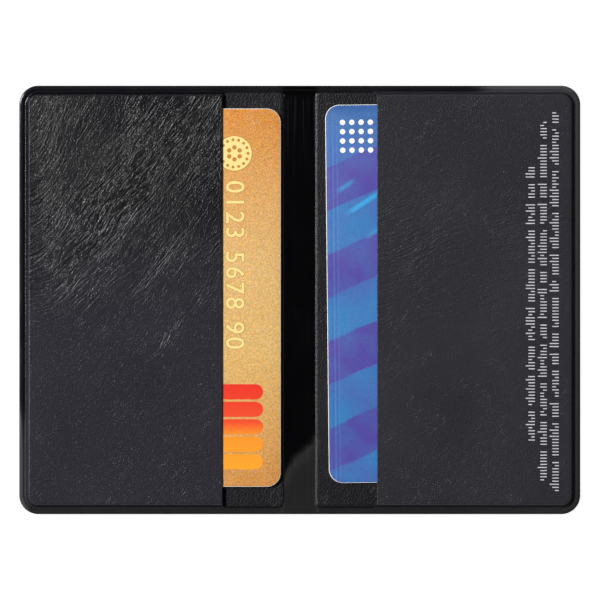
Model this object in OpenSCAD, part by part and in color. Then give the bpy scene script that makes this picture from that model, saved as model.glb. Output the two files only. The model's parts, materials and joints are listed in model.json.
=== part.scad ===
// RFID card sleeve, lying open, with a card in each of its two pockets.
// A black vinyl cover, a metal shielding film, a grained liner and a grained pocket
// panel are stacked in each half and welded together round the edge. The two halves
// join at a pressed spine band that folds along two lines.
// X runs across the open sleeve, Y along its height, and Z up from the surface it
// lies on. The origin is at the middle of the open sleeve, on that surface.

/* [Sleeve] */
// How much wider a half is than a card, from its outer edge to the spine band
side_room = 6.02; // [5.5:0.02:15]
// Room beyond each end of a card in the middle of its pocket, to the sleeve's edge
end_room = 5.7; // [5.2:0.1:12]
// Width of the pressed band between the two halves
spine_w = 7; // [5.5:0.1:12]
// Radius of the four outer corners
corner_r = 4.3; // [3.4:0.1:7]

/* [Sheets] */
// Thickness of the outer cover
cover_t = 0.35; // [0.2:0.05:0.45]
// Thickness of the shielding film
foil_t = 0.08; // [0.05:0.01:0.15]
// Thickness of the liner
liner_t = 0.25; // [0.2:0.05:0.5]
// Thickness of a pocket panel
panel_t = 0.3; // [0.2:0.05:0.5]
// Thickness of a pocket panel where it runs into the weld
panel_foot_t = 0.12; // [0.08:0.01:0.14]
// How far the film stops short of the weld
foil_margin = 1; // [0.8:0.1:3]
// Clearance round the film, in its bed under the liner
foil_play = 0.2; // [0.1:0.05:0.4]

/* [Weld] */
// Width of the welded rim
weld_w = 1.4; // [1.2:0.1:2.2]
// Height of the pressed groove inside the rim's bead
groove_z = 0.6; // [0.55:0.05:0.7]
// Width of the bead along the outer edge
bead_w = 1.1; // [0.6:0.1:1.1]
// Height of the bead above the groove
bead_h = 0.3; // [0.1:0.05:0.5]
// Radius under the rim's outer edge
rim_round = 0.15; // [0.1:0.05:0.25]
// How far the rim is pressed up from the surface of the cover's back
back_step = 0.1; // [0.05:0.01:0.15]
// Height of the pressed spine band's inner face
band_z = 0.5; // [0.45:0.05:0.6]
// Radius of each half's corners beside the spine band
field_r = 1; // [0.8:0.1:2]

/* [Pocket] */
// Distance from the spine band to a pocket's mouth
mouth_gap = 14; // [8:0.5:24]
// Radius at each end of a pocket's mouth
mouth_r = 1.4; // [1:0.1:3]
// How far the opening in the top sheet runs on into the weld
window_lap = 0.15; // [0.05:0.05:0.3]
// Width of the shoulder by which a panel rises from the weld
shoulder_w = 1; // [0.8:0.1:1.2]
// Width of the bevel round the liner and the cover's back
bevel_w = 0.35; // [0.25:0.05:0.5]

/* [Fold] */
// Gap between the two panels when the sleeve is closed
closed_gap = 0.16; // [0.1:0.02:1]
// Width of the score between the spine strip and each half
score_w = 0.1; // [0.06:0.02:0.2]

/* [Cards] */
// Length of a card
card_l = 85.6; // [80:0.1:95]
// Width of a card
card_w = 53.98; // [50:0.02:62]
// Thickness of a card
card_t = 0.76; // [0.7:0.02:0.9]
// Radius of a card's corners
card_r = 3.18; // [2.5:0.1:4]
// Clearance above and below a card in its pocket
card_play = 0.05; // [0.04:0.01:0.15]
// How far the gold card is drawn out of its pocket
gold_pull = 2.5; // [0.5:0.1:2.8]
// How far the blue card is drawn out of its pocket
blue_pull = 0.15; // [0.1:0.05:1.5]
// How far the gold card lies above the middle of the sleeve
gold_shift = 0.5; // [-1.5:0.1:1.5]
// How far the blue card lies above the middle of the sleeve
blue_shift = 1.6; // [-1.8:0.1:1.8]
// Turn of the blue card in its pocket, in degrees
blue_skew = 0.6; // [0:0.1:0.7]

/* [Card details] */
// Length of a chip's contact plate, along the card
chip_l = 13; // [12:0.1:14]
// Width of a chip's contact plate
chip_w = 11.8; // [11:0.1:12.5]
// Radius of the contact plate's corners
chip_r = 2; // [1:0.1:3]
// Thickness of the contact plate
chip_t = 0.2; // [0.12:0.02:0.24]
// Width of the contact plate's middle pad
chip_pad_w = 4.2; // [3:0.1:5]
// Diameter of the potted chip under its contact plate
potting_d = 8; // [6:0.2:9]
// Depth of the potted chip under its contact plate
potting_t = 0.36; // [0.2:0.02:0.4]
// Width of the grooves between a chip's contacts
contact_gap = 0.25; // [0.15:0.05:0.4]
// Depth of the grooves between a chip's contacts
contact_depth = 0.05; // [0.03:0.01:0.08]
// Distance from a card's short edge to its chip's middle
chip_from_end = 15.1; // [14:0.1:18]
// Distance from a card's top long edge to its chip's middle
chip_from_top = 23.9; // [22:0.1:26]
// Width of the magnetic stripe
stripe_w = 12.7; // [9.5:0.1:12.8]
// Distance from a card's top long edge to the magnetic stripe
stripe_from_top = 4.2; // [4:0.1:5.5]
// Length of the signature panel
sign_l = 60; // [40:1:70]
// Width of the signature panel
sign_w = 10; // [6:0.5:12]
// Distance from a card's top long edge to the signature panel
sign_from_top = 20; // [19:0.5:24]
// Thickness of the magnetic stripe and the signature panel
tape_t = 0.04; // [0.02:0.01:0.08]

/* [Hidden] */

vinyl = [0.14, 0.14, 0.15];
vinyl_gloss = [0.04, 0.04, 0.05];
foil_silver = [0.75, 0.76, 0.78];
gold = [0.87, 0.66, 0.38];
blue = [0.25, 0.42, 0.74];
contact_gold = [0.83, 0.68, 0.3];
stripe_brown = [0.12, 0.08, 0.06];
paper_white = [0.93, 0.93, 0.9];

curve_fn = 64;
rise_steps = 8;
bead_steps = 10;
round_steps = 4;
least_r = 0.4;
// How far a cutting shape runs past what it cuts, and two joined shapes into each other
past = 1;
lap = 0.01;

// Places along X and Y
band_x = -spine_w / 2;
outer_x = band_x - card_w - side_room;
mouth_x = band_x - mouth_gap;
top_y = card_l / 2 + end_room;
field_x = outer_x + weld_w;
field_y = top_y - weld_w;
pocket_end = weld_w + bevel_w + shoulder_w;

// Heights of the stack, from the surface up
foil_z = cover_t;
liner_z = foil_z + foil_t + liner_t;
liner_rim_z = groove_z - panel_foot_t;
card_z = liner_z + card_play;
panel_z = card_z + card_t + card_play;
panel_top_z = panel_z + panel_t;
rim_top_z = groove_z + bead_h;

// The fold lines lie on the spine band's inner face, as far out as the closed halves need
fold_x = panel_top_z - band_z + closed_gap / 2;

// Where the edges of the cards nearest the spine lie
home_x = outer_x + pocket_end + card_w;
gold_x = home_x + gold_pull;
blue_x = home_x + blue_pull + card_l / 2 * sin(blue_skew);

// Points of an elliptical arc, from one angle to another
function arc(x, z, rx, rz, from, to, steps) =
    [for (i = [0 : steps]) let (a = from + (to - from) * i / steps) [x + rx * cos(a), z + rz * sin(a)]];

// Points of a smooth rise from one point to another, level at both ends
function rise(x0, z0, x1, z1) =
    [for (i = [0 : rise_steps]) let (t = i / rise_steps)
        [x0 + (x1 - x0) * t, z0 + (z1 - z0) * (1 - cos(180 * t)) / 2]];

function reversed(points) = [for (i = [len(points) - 1 : -1 : 0]) points[i]];

// A rectangle with one radius at its two left corners and another at its two right ones
module rounded_plate(x0, x1, y, r0, r1) {
    translate([x0 + r0, -y]) square([x1 - r1 - x0 - r0, 2 * y]);
    translate([x0, r0 - y]) square([r0 + lap, 2 * (y - r0)]);
    translate([x1 - r1 - lap, r1 - y]) square([r1 + lap, 2 * (y - r1)]);
    for (s = [-1, 1]) {
        translate([x0 + r0, s * (y - r0)]) circle(r = r0, $fn = curve_fn);
        translate([x1 - r1, s * (y - r1)]) circle(r = r1, $fn = curve_fn);
    }
}

// The area inside one half's weld, drawn in by a margin
module field(inset = 0) {
    rounded_plate(
        field_x + inset, band_x - inset, field_y - inset,
        max(corner_r - weld_w - inset, least_r), max(field_r - inset, least_r)
    );
}

// A profile, drawn as [distance inwards, height], run along the top and bottom edges
module edge_run_x(x0, x1, y) {
    for (s = [0, 1]) {
        mirror([0, s, 0]) translate([x0, -y, 0]) rotate([90, 0, 90]) linear_extrude(x1 - x0) children();
    }
}

// The same profile run along the left edge
module edge_run_y(x, y) {
    translate([x, y, 0]) rotate([90, 0, 0]) linear_extrude(2 * y) children();
}

// The same profile turned round the two left corners
module edge_corners(x, y, r) {
    for (s = [0, 1]) {
        mirror([0, s, 0]) translate([x + r, r - y, 0]) rotate([0, 0, 180])
            rotate_extrude(angle = 90, $fn = curve_fn) translate([r, 0]) mirror([1, 0]) children();
    }
}

// The profile run along a half's outer edge: its two ends, as far as x1, and its side
module along_outer_edge(x1) {
    edge_run_x(outer_x + corner_r, x1, top_y) children();
    edge_run_y(outer_x, top_y - corner_r) children();
    edge_corners(outer_x, top_y, corner_r) children();
}

// The profile run right round the area inside one half's weld
module around_field() {
    outer_r = corner_r - weld_w;
    edge_run_x(field_x + outer_r, band_x - field_r, field_y) children();
    edge_run_y(field_x, field_y - outer_r) children();
    edge_corners(field_x, field_y, outer_r) children();
    translate([field_x + band_x, 0, 0]) mirror([1, 0, 0]) {
        edge_run_y(field_x, field_y - field_r) children();
        edge_corners(field_x, field_y, field_r) children();
    }
}

// Section of the welded rim: a rounded bead, then the pressed groove
module rim_profile() {
    polygon(concat(
        [[weld_w, back_step], [weld_w, groove_z]],
        arc(bead_w / 2, groove_z, bead_w / 2, bead_h, 0, 180, bead_steps),
        arc(rim_round, back_step + rim_round, rim_round, rim_round, 180, 270, round_steps)
    ));
}

// Section of a panel's foot and shoulder, from the weld to its flat top
module shoulder_profile() {
    polygon(concat(
        [[weld_w, liner_rim_z]],
        rise(weld_w + bevel_w, liner_z, pocket_end, panel_z),
        [[pocket_end, panel_top_z]],
        reversed(rise(weld_w, groove_z, weld_w + shoulder_w, panel_top_z))
    ));
}

// The opening in the top sheet, from one pocket's mouth to the other
module window() {
    rounded_plate(mouth_x, -mouth_x, field_y + window_lap, mouth_r, mouth_r);
}

// What is cut away beside a fold line, left of x, so that the raised rim can fold there
module fold_mitre(x) {
    drop = rim_top_z - band_z + lap;
    rotate([90, 0, 0]) linear_extrude(2 * (top_y + past), center = true)
        polygon([[x, band_z], [x - drop, band_z + drop], [x + past, band_z + drop], [x + past, band_z]]);
}

module outer_cover() {
    color(vinyl) difference() {
        linear_extrude(cover_t) field();
        around_field()
            polygon([[-past, -past], [bevel_w, -past], [bevel_w, 0], [0, back_step], [-past, back_step]]);
    }
}

module shield_foil() {
    color(foil_silver) translate([0, 0, foil_z]) linear_extrude(foil_t) field(foil_margin);
}

module liner() {
    above_z = liner_z + past;
    color(vinyl) difference() {
        translate([0, 0, foil_z]) linear_extrude(liner_z - foil_z) field();
        translate([0, 0, foil_z - past]) linear_extrude(past + foil_t) field(foil_margin - foil_play);
        around_field() polygon([
            [-past, liner_rim_z], [0, liner_rim_z], [bevel_w, liner_z], [bevel_w, above_z], [-past, above_z]
        ]);
    }
}

module pocket_panel() {
    inset = pocket_end - lap;
    flat_r = corner_r - inset;
    color(vinyl) difference() {
        union() {
            along_outer_edge(mouth_x + mouth_r) shoulder_profile();
            translate([0, 0, panel_z]) linear_extrude(panel_t)
                rounded_plate(outer_x + inset, band_x, top_y - inset, flat_r, flat_r);
        }
        linear_extrude(panel_top_z + past) window();
    }
}

module weld_frame() {
    end_x = -fold_x - score_w / 2;
    start_x = band_x - field_r - past;
    color(vinyl_gloss) difference() {
        union() {
            along_outer_edge(end_x) rim_profile();
            translate([0, 0, back_step]) linear_extrude(band_z - back_step) difference() {
                translate([start_x, -field_y - lap]) square([end_x - start_x, 2 * (field_y + lap)]);
                field();
            }
        }
        fold_mitre(end_x);
    }
}

module spine_strip() {
    end_x = fold_x - score_w / 2;
    color(vinyl_gloss) difference() {
        union() {
            edge_run_x(-end_x, end_x, top_y) rim_profile();
            translate([-end_x, -field_y - lap, back_step])
                cube([2 * end_x, 2 * (field_y + lap), band_z - back_step]);
        }
        for (s = [0, 1]) mirror([s, 0, 0]) fold_mitre(end_x);
    }
}

// A card lies front up with its back at Z = 0, its top edge at X = 0 and its middle on
// the X axis
module chip_place() {
    translate([-chip_from_top, card_l / 2 - chip_from_end, 0]) children();
}

module chip_outline() {
    rounded_plate(-chip_w / 2, chip_w / 2, chip_l / 2, chip_r, chip_r);
}

module card_body(tint) {
    color(tint) difference() {
        linear_extrude(card_t) rounded_plate(-card_w, 0, card_l / 2, card_r, card_r);
        chip_place() {
            translate([0, 0, card_t - chip_t]) linear_extrude(chip_t + past) chip_outline();
            translate([0, 0, card_t - chip_t - potting_t])
                cylinder(d = potting_d, h = potting_t + past, $fn = curve_fn);
        }
        translate([-stripe_from_top - stripe_w, -card_l / 2 - past, -past])
            cube([stripe_w, card_l + 2 * past, tape_t + past]);
        translate([-sign_from_top - sign_w, -sign_l / 2, -past]) cube([sign_w, sign_l, tape_t + past]);
    }
}

// The contact plate has a middle pad with a row of contacts on each side of it
module contact_grooves() {
    pitch = chip_l / 4;
    for (s = [-1, 1]) {
        translate([s * chip_pad_w / 2 - contact_gap / 2, -pitch]) square([contact_gap, 2 * pitch]);
        for (row = [-1, 0, 1]) {
            start = row == 0 ? chip_pad_w / 2 : 0;
            translate([s > 0 ? start : -chip_w / 2 - past, row * pitch - contact_gap / 2])
                square([chip_w / 2 + past - start, contact_gap]);
        }
    }
}

module card_chip() {
    color(contact_gold) chip_place() {
        difference() {
            translate([0, 0, card_t - chip_t]) linear_extrude(chip_t) chip_outline();
            translate([0, 0, card_t - contact_depth]) linear_extrude(past) contact_grooves();
        }
        translate([0, 0, card_t - chip_t - potting_t])
            cylinder(d = potting_d, h = potting_t + lap, $fn = curve_fn);
    }
}

module card_stripe() {
    color(stripe_brown) translate([-stripe_from_top - stripe_w, -card_l / 2, 0])
        cube([stripe_w, card_l, tape_t]);
}

module card_signature_panel() {
    color(paper_white) translate([-sign_from_top - sign_w, -sign_l / 2, 0]) cube([sign_w, sign_l, tape_t]);
}

// Each card's top edge lies along the spine, so the blue card is turned end for end
module gold_place() {
    translate([gold_x, gold_shift, card_z]) children();
}

module blue_place() {
    translate([card_w / 2 - blue_x, blue_shift, card_z]) rotate([0, 0, 180 + blue_skew])
        translate([card_w / 2, 0, 0]) children();
}

module right_half() {
    mirror([1, 0, 0]) children();
}

outer_cover();  // outer_cover_left
shield_foil();  // shield_foil_left
liner();  // liner_left
pocket_panel();  // pocket_panel_left
weld_frame();  // weld_frame_left
spine_strip();
right_half() outer_cover();  // outer_cover_right
right_half() shield_foil();  // shield_foil_right
right_half() liner();  // liner_right
right_half() pocket_panel();  // pocket_panel_right
right_half() weld_frame();  // weld_frame_right
gold_place() card_body(gold);  // gold_card_body
gold_place() card_chip();  // gold_card_chip
gold_place() card_stripe();  // gold_card_stripe
gold_place() card_signature_panel();  // gold_card_signature_panel
blue_place() card_body(blue);  // blue_card_body
blue_place() card_chip();  // blue_card_chip
blue_place() card_stripe();  // blue_card_stripe
blue_place() card_signature_panel();  // blue_card_signature_panel
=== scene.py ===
# %% [markdown]
# A folding card sleeve of black vinyl, lying open with two cards in it. The sleeve is four
# flat sheets in each half, welded together round the edge, so almost everything here is a
# thin shell whose height follows a rule: a bead and a groove along the rim, a drawn shoulder
# where a pocket rises, a soft grain with creases on top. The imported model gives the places,
# and the cells below build the visible skin around it.

# %% Load the frame
import json
import math
import random

import bmesh
import bpy
import numpy as np
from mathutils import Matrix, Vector, noise


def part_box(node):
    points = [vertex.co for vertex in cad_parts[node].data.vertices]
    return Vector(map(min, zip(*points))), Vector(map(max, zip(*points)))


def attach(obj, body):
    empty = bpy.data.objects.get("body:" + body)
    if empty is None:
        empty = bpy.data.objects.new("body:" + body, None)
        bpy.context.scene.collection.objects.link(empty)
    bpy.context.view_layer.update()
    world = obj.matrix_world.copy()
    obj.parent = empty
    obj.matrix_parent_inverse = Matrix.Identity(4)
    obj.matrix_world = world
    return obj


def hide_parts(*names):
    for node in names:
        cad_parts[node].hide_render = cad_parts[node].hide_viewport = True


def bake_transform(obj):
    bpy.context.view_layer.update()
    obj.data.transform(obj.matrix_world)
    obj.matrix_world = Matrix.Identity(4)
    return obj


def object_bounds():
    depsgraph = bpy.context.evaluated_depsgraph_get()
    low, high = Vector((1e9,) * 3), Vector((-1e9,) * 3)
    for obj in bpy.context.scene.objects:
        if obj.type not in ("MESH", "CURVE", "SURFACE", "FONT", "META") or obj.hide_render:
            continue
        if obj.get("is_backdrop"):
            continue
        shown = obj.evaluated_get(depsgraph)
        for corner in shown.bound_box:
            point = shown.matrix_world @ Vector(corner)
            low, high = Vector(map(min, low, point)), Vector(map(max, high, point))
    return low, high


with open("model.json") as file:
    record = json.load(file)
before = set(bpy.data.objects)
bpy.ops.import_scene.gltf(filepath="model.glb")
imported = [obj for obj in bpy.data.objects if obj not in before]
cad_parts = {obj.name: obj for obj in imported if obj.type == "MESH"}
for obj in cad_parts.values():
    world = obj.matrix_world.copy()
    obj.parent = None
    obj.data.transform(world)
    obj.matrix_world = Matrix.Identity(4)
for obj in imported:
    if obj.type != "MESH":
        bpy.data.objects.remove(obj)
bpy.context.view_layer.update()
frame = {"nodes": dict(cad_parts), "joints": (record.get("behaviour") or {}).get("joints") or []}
MM = 0.001

# %% [markdown]
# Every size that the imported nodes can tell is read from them, so that the skin still fits
# when the model changes. The left half is enough, because the right one is its mirror image.
# Distances from the middle line of the spine are called `out`, and they are positive in both
# halves. The few sizes that no node's box shows, such as a radius, are named here.

# %% Sizes of the sleeve
rim_low, rim_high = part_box("weld_frame_left")
cover_low, cover_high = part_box("outer_cover_left")
liner_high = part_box("liner_left")[1]
panel_low, panel_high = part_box("pocket_panel_left")
gold_low, gold_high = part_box("gold_card_body")
blue_low, blue_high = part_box("blue_card_body")
fold = {joint["name"]: joint["pos_m"] for joint in frame["joints"] if joint["type"] == "hinge"}

EDGE_OUT = -rim_low.x
EDGE_Y = rim_high.y
FIELD_OUT = -cover_low.x
FIELD_Y = cover_high.y
BAND_OUT = -cover_high.x
RIM_W = EDGE_OUT - FIELD_OUT
FOLD_OUT = abs(fold["left_crease"][0])
BAND_Z = fold["left_crease"][2]
BACK_Z = rim_low.z
RIM_TOP_Z = rim_high.z
LINER_Z = liner_high.z
LINER_RIM_Z = panel_low.z
COVER_TOP_Z = cover_high.z
PANEL_TOP_Z = panel_high.z
CARD_TOP_Z = gold_high.z

CORNER_R = 4.3 * MM
FIELD_R = 1.0 * MM
MOUTH_R = 1.4 * MM
MOUTH_LAP = 0.15 * MM
MOUTH_OUT = -panel_high.x + MOUTH_R - math.sqrt(MOUTH_R**2 - (MOUTH_R - MOUTH_LAP) ** 2)
BEAD_W = 1.1 * MM
GROOVE_Z = 0.6 * MM
EDGE_ROUND = 0.15 * MM
BEVEL_W = 0.35 * MM
SHOULDER_W = 1.0 * MM
PANEL_T = 0.3 * MM
print(f"half {EDGE_OUT / MM:.2f} mm, mouth at {MOUTH_OUT / MM:.2f} mm, rim {RIM_W / MM:.2f} mm wide")

# %% [markdown]
# The camera comes first, because it settles what has to look right. It looks straight down
# through a long lens, as a product photographer does to keep the edges parallel.

# %% Camera
VIEW_W = 136.1 * MM
CAMERA_HEIGHT = 1.6
CAMERA_OFFSET = (0.17 * MM, -0.02 * MM)
SENSOR_W = 36.0


def into_scene(name, data):
    """A new object with this data, linked to the scene"""
    obj = bpy.data.objects.new(name, data)
    bpy.context.scene.collection.objects.link(obj)
    return obj


camera_data = bpy.data.cameras.new("overhead_camera")
camera_data.sensor_width = SENSOR_W
camera_data.lens = SENSOR_W * CAMERA_HEIGHT / VIEW_W
camera = into_scene("overhead_camera", camera_data)
camera.location = (*CAMERA_OFFSET, CAMERA_HEIGHT)
bpy.context.scene.camera = camera
print(f"lens {camera_data.lens:.0f} mm")

# %% [markdown]
# A thin sheet has a fine side that shows and a back that nobody sees. One helper builds both
# from a grid: the fine side keeps every line, the back keeps a few, and a wall joins them.
# The grid is square, and `round_corners` bends its corner squares into quarter circles. A
# line of the grid that ran a set distance from the edge still does so after that, which is
# why heights can be worked out on the square grid.


# %% Helpers for sheets
SHARP_ANGLE = math.radians(50)


def finished(name, verts, faces, material):
    """An object with this mesh, smooth but for its sharp edges"""
    mesh = bpy.data.meshes.new(name)
    mesh.from_pydata([tuple(v) for v in verts], [], faces)
    mesh.shade_smooth()
    mesh.set_sharp_from_angle(angle=SHARP_ANGLE)
    mesh.materials.append(material)
    return into_scene(name, mesh)


def belongs(obj, body, slot_name, *nodes):
    """Says which body a piece rides on and hides the nodes that it stands for. slot_name is not used"""
    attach(obj, body)
    if nodes:
        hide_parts(*nodes)
    return obj


def steps(start, stop, size):
    """Even steps of about this size from start to stop, both ends included"""
    return list(np.linspace(start, stop, max(2, round(abs(stop - start) / size) + 1)))


def joined(*runs):
    """Runs of steps put one after the other, without the repeated ends"""
    points = [p for run in runs for p in run]
    return np.array([p for i, p in enumerate(points) if i == 0 or abs(p - points[i - 1]) > 1e-7])


def round_corners(out, y, out_edge, out_side, y_edge, radius):
    """Bends a grid's two corner squares at out_edge into quarter circles. out_side is +1 if the
    grid lies towards the spine from that edge, and -1 if it lies away from it"""
    a = (out_edge - out) * out_side / radius
    b = (y_edge - abs(y)) / radius
    inside = (a < 1) & (b < 1)
    ring = np.minimum(a, b)
    share = (np.maximum(a, b) - ring) / np.maximum(1 - ring, 1e-9)
    angle = math.pi / 4 * np.where(a <= b, 1 - share, 1 + share)
    centre_out = out_edge - radius * out_side
    new_out = centre_out + out_side * radius * (1 - ring) * np.cos(angle)
    new_y = np.sign(y) * (y_edge - radius + radius * (1 - ring) * np.sin(angle))
    return np.where(inside, new_out, out), np.where(inside, new_y, y)


def flare(y, centre_y, radius):
    """How far a sheet's cut edge swings out where a rounded opening ends in the weld"""
    past = np.clip(abs(y) - centre_y, 0, radius)
    return radius - np.sqrt(radius**2 - past**2)


# %% Shell of a sheet
def sheet_shell(name, side, out_lines, y_lines, fit, fine_z, back_z, material, fine_up=True, skip=4):
    """A closed thin sheet over a grid. side is -1 for the left half and +1 for the right"""
    out, y = np.meshgrid(out_lines, y_lines, indexing="ij")
    fitted_out, fitted_y = fit(out, y)
    fine = np.stack([side * fitted_out, fitted_y, fine_z(out, y, side * fitted_out, fitted_y)], -1)
    rows, columns = out.shape
    keep_row = sorted({*range(0, rows, skip), rows - 1})
    keep_column = sorted({*range(0, columns, skip), columns - 1})
    picked = np.ix_(keep_row, keep_column)
    back = fine[picked].copy()
    back[..., 2] = back_z(out[picked], y[picked])
    verts = np.concatenate([fine.reshape(-1, 3), back.reshape(-1, 3)])
    first_back = rows * columns
    wide = len(keep_column)

    def front(i, j):
        return i * columns + j

    def behind(i, j):
        return first_back + i * wide + j

    faces = [
        (front(i, j), front(i + 1, j), front(i + 1, j + 1), front(i, j + 1))
        for i in range(rows - 1) for j in range(columns - 1)
    ]
    faces += [
        (behind(i, j), behind(i, j + 1), behind(i + 1, j + 1), behind(i + 1, j))
        for i in range(len(keep_row) - 1) for j in range(wide - 1)
    ]
    for k in range(len(keep_row) - 1):
        run = range(keep_row[k], keep_row[k + 1] + 1)
        faces.append((*[front(i, 0) for i in reversed(run)], behind(k, 0), behind(k + 1, 0)))
        faces.append((*[front(i, columns - 1) for i in run], behind(k + 1, wide - 1), behind(k, wide - 1)))
    last = len(keep_row) - 1
    for k in range(wide - 1):
        run = range(keep_column[k], keep_column[k + 1] + 1)
        faces.append((*[front(0, j) for j in run], behind(0, k + 1), behind(0, k)))
        faces.append((*[front(rows - 1, j) for j in reversed(run)], behind(last, k), behind(last, k + 1)))
    if (side < 0) == fine_up:
        faces = [tuple(reversed(face)) for face in faces]
    return finished(name, verts, faces, material)


# %% [markdown]
# Leather-grained vinyl wrinkles along lines. On the left pocket a fan of them starts nearly
# level at the outer edge and climbs towards the spine. Noise that is stretched along such
# lines gives the creases: `across` counts the lines and `along` runs with them. Both are kept
# on the mesh with the creases' strength, so that the material can add still finer creases
# that run the same way. The broad ones are in the mesh itself, where they catch the light.


# %% Creases
def soft_noise(a, b, seed):
    """Smooth noise from about -0.6 to 0.6 at each point of two arrays"""
    flat = [noise.noise((p, q, seed)) for p, q in zip(a.ravel(), b.ravel())]
    return np.array(flat).reshape(a.shape)


def hump(distance, width):
    """1 in the middle and 0 far away, as a bell"""
    return np.exp(-((distance / width) ** 2))


def left_flow(x, y):
    """Across, along and strength of the left pocket's creases"""
    u = x / MM + EDGE_OUT / MM
    v = y / MM
    bend = (u - 7.3) / 3.0
    middle_line = 2.4 + 3.57 * np.log1p(np.exp(bend))
    slope = 1.19 / (1 + np.exp(-bend))
    aside = (v - middle_line) / np.sqrt(1 + slope**2)
    drift = 1.6 * soft_noise(u / 14, v / 14, 3.1) + 0.3 * soft_noise(u / 5, v / 5, 8.7)
    drift += 0.1 * soft_noise(u / 0.9, v / 0.9, 9.3)
    along = 0.64 * u + 0.77 * v
    main = (1.0 * hump(aside, 2.7) + 0.26 * hump(aside - 2, 8)) * np.clip(1.25 - abs(u - 22) / 34, 0, 1)
    rim_side = 0.5 * hump(u, 10) * hump(v - 20, 24)
    single = 0.55 * hump(aside + 15, 1.3) * hump(u - 31, 7) + 0.4 * hump(aside + 27, 1.0) * hump(u - 36, 6)
    patchy = soft_noise(u / 7, v / 7, 5.5)
    everywhere = 0.08 + 0.18 / (1 + np.exp((4 - v) / 6))
    strength = main * (1 + 0.3 * patchy) + (rim_side + single + everywhere) * (0.75 + 0.6 * patchy)
    strength = np.clip(strength, 0, 1.25)
    return aside + drift, along, strength


def right_flow(x, y):
    """Across, along and strength of the right pocket's much fainter creases"""
    u = EDGE_OUT / MM - x / MM
    v = y / MM
    drift = 2.0 * soft_noise(u / 12, v / 12, 13.1) + 0.5 * soft_noise(u / 3, v / 3, 18.7)
    across = 0.85 * (v + 0.35 * u) + drift
    along = 0.9 * u - 0.3 * v
    strength = 0.07 + 0.16 * hump(v - 22 + 0.3 * u, 13)
    return across, along, np.clip(strength * (1 + soft_noise(u / 9, v / 9, 15.5)), 0, 1)


def creases(flow, x, y, depth):
    """Height of the creases, negative in their valleys"""
    across, along, strength = flow(x, y)
    broad = soft_noise(across / 0.95, along / 11, 21.37)
    narrow = soft_noise(across / 0.55, along / 7.0, 34.61)
    valleys = 0.5 * np.clip(1 - 4.2 * abs(broad), 0, 1) + 0.3 * np.clip(1 - 3.0 * abs(narrow), 0, 1)
    swell = 0.08 * soft_noise(across / 2.2, along / 9, 55.43)
    return depth * strength * (swell - valleys + 0.25)


def keep(mesh, name, values):
    """Stores three numbers for each point of a mesh, which its material can read"""
    attribute = mesh.attributes.new(name, "FLOAT_VECTOR", "POINT")
    attribute.data.foreach_set("vector", np.array(values, dtype=np.float32).ravel())


def keep_flow(obj, flow):
    """Stores across, along and strength of the creases on a mesh"""
    co = np.array([v.co for v in obj.data.vertices])
    keep(obj.data, "crease_flow", np.stack(flow(co[:, 0], co[:, 1]), -1))


# %% [markdown]
# Materials are networks of nodes. One helper adds a node, gives its settings and the values
# of its sockets, and returns it. The others are short names for steps that come back in
# every material, so that a material reads from top to bottom as a list.


# %% Helpers for materials
def step(tree, kind, values=None, **settings):
    """Adds a node to a tree. values fills its input sockets, by name or number"""
    node = tree.nodes.new(kind)
    for name, value in settings.items():
        setattr(node, name, value)
    for socket, value in (values or {}).items():
        if isinstance(value, bpy.types.NodeSocket):
            tree.links.new(value, node.inputs[socket])
        else:
            node.inputs[socket].default_value = value
    return node


def sums(tree, operation, a, b=0.0, c=0.0):
    """One sum on values or sockets, such as ADD, MULTIPLY or POWER"""
    return step(tree, "ShaderNodeMath", {0: a, 1: b, 2: c}, operation=operation).outputs[0]


def away(tree, value, middle):
    """How far a value is from a middle"""
    return sums(tree, "ABSOLUTE", sums(tree, "SUBTRACT", value, middle))


def spread(tree, value, low, high, to_low=0.0, to_high=1.0, smooth=False):
    """Maps a value from one range to another, held at the ends"""
    return step(tree, "ShaderNodeMapRange", {0: value, 1: low, 2: high, 3: to_low, 4: to_high},
                interpolation_type="SMOOTHSTEP" if smooth else "LINEAR").outputs[0]


def mixed(tree, share, first, second):
    """A colour between two others, each of them a socket or three numbers"""
    first, second = ((*c, 1) if isinstance(c, tuple) else c for c in (first, second))
    return step(tree, "ShaderNodeMix", {0: share, 6: first, 7: second}, data_type="RGBA").outputs[2]


def cloud(tree, where, scale, detail=2.0, **more):
    """Soft noise at a place, with values about one half"""
    values = {"Vector": where, "Scale": scale, "Detail": detail, **more}
    return step(tree, "ShaderNodeTexNoise", values).outputs["Fac"]


def parts_of(tree, place):
    """The three numbers of a place, as sockets"""
    return step(tree, "ShaderNodeSeparateXYZ", {0: place}).outputs


def effect(name, inputs, outputs):
    """An empty shader node group with named inputs and outputs, and the sockets inside it"""
    tree = bpy.data.node_groups.new(name, "ShaderNodeTree")
    for label, kind, value in inputs:
        socket = tree.interface.new_socket(label, in_out="INPUT", socket_type=kind)
        socket.default_value = value
    for label in outputs:
        tree.interface.new_socket(label, in_out="OUTPUT", socket_type="NodeSocketFloat")
    return tree, tree.nodes.new("NodeGroupInput").outputs, tree.nodes.new("NodeGroupOutput").inputs


def started(name, **values):
    """A new material, its tree, its main shader and its object coordinates"""
    material = bpy.data.materials.new(name)
    material.use_nodes = True
    tree = material.node_tree
    shader = tree.nodes["Principled BSDF"]
    for socket, value in values.items():
        shader.inputs[socket.replace("_", " ")].default_value = value
    position = tree.nodes.new("ShaderNodeTexCoord").outputs["Object"]
    return material, tree, shader, position


def feed(tree, shader, **values):
    """Links values to sockets of the shader, such as Base_Color"""
    for socket, value in values.items():
        tree.links.new(value, shader.inputs[socket.replace("_", " ")])


def raised(tree, shader, height, depth):
    """Gives the surface relief. depth is the relief of a height of 1, in metres"""
    bump = step(tree, "ShaderNodeBump", {"Strength": 1.0, "Distance": depth, "Height": height})
    feed(tree, shader, Normal=bump.outputs[0])


FLOAT = "NodeSocketFloat"
VECTOR = "NodeSocketVector"

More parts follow.
